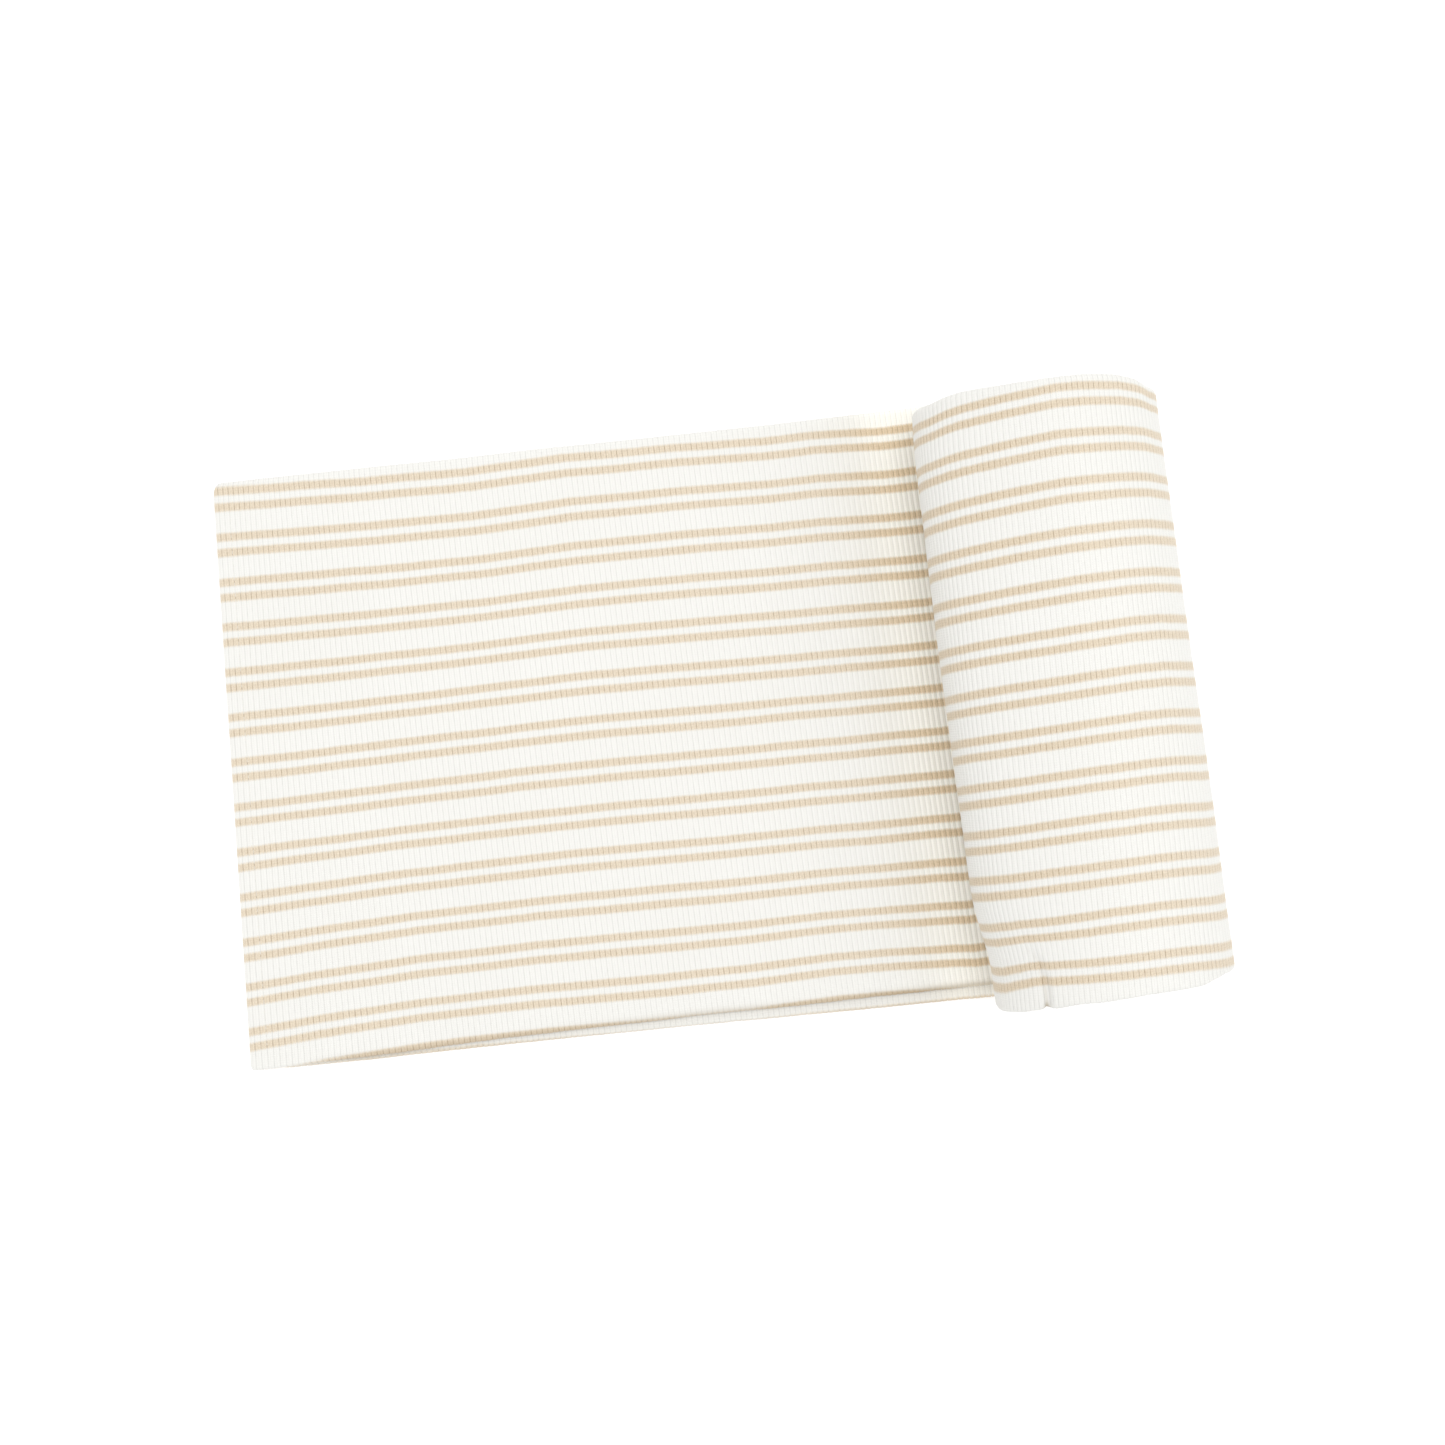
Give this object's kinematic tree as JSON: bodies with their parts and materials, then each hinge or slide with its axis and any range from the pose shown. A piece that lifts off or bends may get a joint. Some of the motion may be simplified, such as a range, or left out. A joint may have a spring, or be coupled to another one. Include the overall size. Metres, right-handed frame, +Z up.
{
  "type": "baby wrap blanket",
  "caption": "Striped rib-knit baby wrap, folded lengthwise into a thick strip and loosely rolled from one end, with the other end lying flat as a tail that can be lifted.",
  "frame": {"origin": "middle of the whole part's box, on the surface it lies on", "axes": "+X along the folded strip, from the tail's free end to the roll; +Y across the strip, towards the single far fold; +Z up"},
  "size_m": [0.4712, 0.2888, 0.0761],
  "materials": {
    "cloth": "soft cotton rib knit, off-white with pairs of tan stripes along the strip",
    "thread": "matt polyester sewing thread, off-white",
    "label": "blank woven satin"
  },
  "bodies": {
    "roll": {"base_bottom_flap": "cloth", "base_bottom_panel": "cloth", "base_side_hem_thread": "thread", "base_top_flap": "cloth", "base_top_panel": "cloth", "inner_end_hem_thread": "thread", "roll_bottom_flap": "cloth", "roll_bottom_panel": "cloth", "roll_side_hem_thread": "thread", "roll_top_flap": "cloth", "roll_top_panel": "cloth"},
    "tail_root": {"tail_root_bottom_flap": "cloth", "tail_root_bottom_panel": "cloth", "tail_root_side_hem_thread": "thread", "tail_root_top_flap": "cloth", "tail_root_top_panel": "cloth"},
    "tail_middle": {"tail_middle_bottom_flap": "cloth", "tail_middle_bottom_panel": "cloth", "tail_middle_side_hem_thread": "thread", "tail_middle_top_flap": "cloth", "tail_middle_top_panel": "cloth"},
    "tail_end": {"care_label": "label", "tail_end_bottom_flap": "cloth", "tail_end_bottom_panel": "cloth", "tail_end_hem_thread": "thread", "tail_end_side_hem_thread": "thread", "tail_end_top_flap": "cloth", "tail_end_top_panel": "cloth"}
  },
  "joints": [
    {"name": "tail_root_lift", "type": "hinge", "parent": "roll", "child": "tail_root", "pos_m": [0.11, 0, 0.0063], "axis": [0, 1, 0], "range_deg": [0, 60]},
    {"name": "tail_middle_lift", "type": "hinge", "parent": "tail_root", "child": "tail_middle", "pos_m": [-0.004, 0, 0.0063], "axis": [0, 1, 0], "range_deg": [0, 55]},
    {"name": "tail_end_lift", "type": "hinge", "parent": "tail_middle", "child": "tail_end", "pos_m": [-0.119, 0, 0.0063], "axis": [0, 1, 0], "range_deg": [0, 55]}
  ]
}
